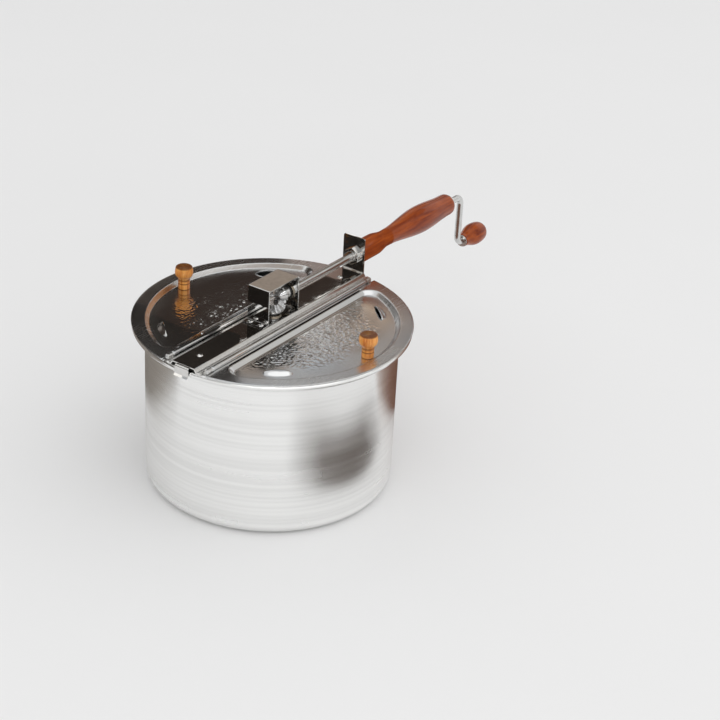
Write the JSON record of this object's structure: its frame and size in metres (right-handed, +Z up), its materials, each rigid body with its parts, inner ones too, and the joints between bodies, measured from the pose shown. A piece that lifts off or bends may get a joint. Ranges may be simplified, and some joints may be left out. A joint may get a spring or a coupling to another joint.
{
  "type": "stovetop popcorn popper",
  "caption": "Hand-cranked stovetop popcorn popper: aluminium pot, hinged half lids, geared wire stirrer, wooden handle with a crank.",
  "frame": {"origin": "centre of the pot's flat bottom", "axes": "+X along the bar towards the handle and crank, +Z up, -Y towards the front lid"},
  "size_m": [0.465, 0.24, 0.1873],
  "materials": {
    "pot_aluminium": "spun, fine rings around the wall",
    "lid_aluminium": "bright, panel hammered in a ripple pattern",
    "bright_steel": "bright plated",
    "plain_steel": "bright drawn",
    "gear_metal": "cast, plated",
    "bush_brass": "turned",
    "dark_washer": "matte",
    "handle_wood": "orange brown gloss lacquer",
    "knob_wood": "honey gloss lacquer"
  },
  "bodies": {
    "pot": {"pot": "pot_aluminium"},
    "bridge": {"bridge_bar": "bright_steel", "gear_housing": "bright_steel", "housing_rivets": "bright_steel", "rod_bush": "bush_brass", "shaft_bush": "bush_brass", "handle_tube": "bright_steel", "handle_nut": "bright_steel", "wood_handle": "handle_wood", "front_hinge_pin": "plain_steel", "rear_hinge_pin": "plain_steel", "rim_clip_left": "bright_steel", "rim_clip_right": "bright_steel", "clip_rivets": "bright_steel"},
    "front_lid": {"front_lid": "lid_aluminium", "front_knob": "knob_wood", "front_knob_screw": "plain_steel"},
    "rear_lid": {"rear_lid": "lid_aluminium", "rear_knob": "knob_wood", "rear_knob_screw": "plain_steel"},
    "crank": {"crank_rod": "plain_steel", "pinion_gear": "gear_metal", "pinion_pin": "plain_steel", "pinion_washer": "dark_washer", "knob_stop_washer": "plain_steel", "knob_push_nut": "plain_steel"},
    "crank_knob": {"crank_knob": "handle_wood"},
    "stirrer": {"driven_gear": "gear_metal", "gear_pin": "plain_steel", "thrust_washer": "dark_washer", "stirrer_shaft": "plain_steel", "stirrer_wire": "plain_steel", "shaft_clip": "plain_steel"}
  },
  "joints": [
    {"name": "lid_lift", "type": "slide", "parent": "pot", "child": "bridge", "axis": [0, 0, 1], "range_m": [0, 0.17]},
    {"name": "front_lid_hinge", "type": "hinge", "parent": "bridge", "child": "front_lid", "pos_m": [0, -0.0205, 0.15255], "axis": [-1, 0, 0], "range_deg": [0, 90]},
    {"name": "rear_lid_hinge", "type": "hinge", "parent": "bridge", "child": "rear_lid", "pos_m": [0, 0.0205, 0.15255], "axis": [1, 0, 0], "range_deg": [0, 90]},
    {"name": "crank_turn", "type": "hinge", "parent": "bridge", "child": "crank", "pos_m": [0, 0, 0.169], "axis": [1, 0, 0], "continuous": true},
    {"name": "crank_knob_spin", "type": "hinge", "parent": "crank", "child": "crank_knob", "pos_m": [0.32, 0, 0.119], "axis": [1, 0, 0], "continuous": true},
    {"name": "stirrer_turn", "type": "hinge", "parent": "bridge", "child": "stirrer", "pos_m": [0, 0, 0.1], "axis": [0, 0, 1], "continuous": true}
  ],
  "couplings": [
    {"joint": "stirrer_turn", "follows": "crank_turn", "ratio": 0.75}
  ]
}
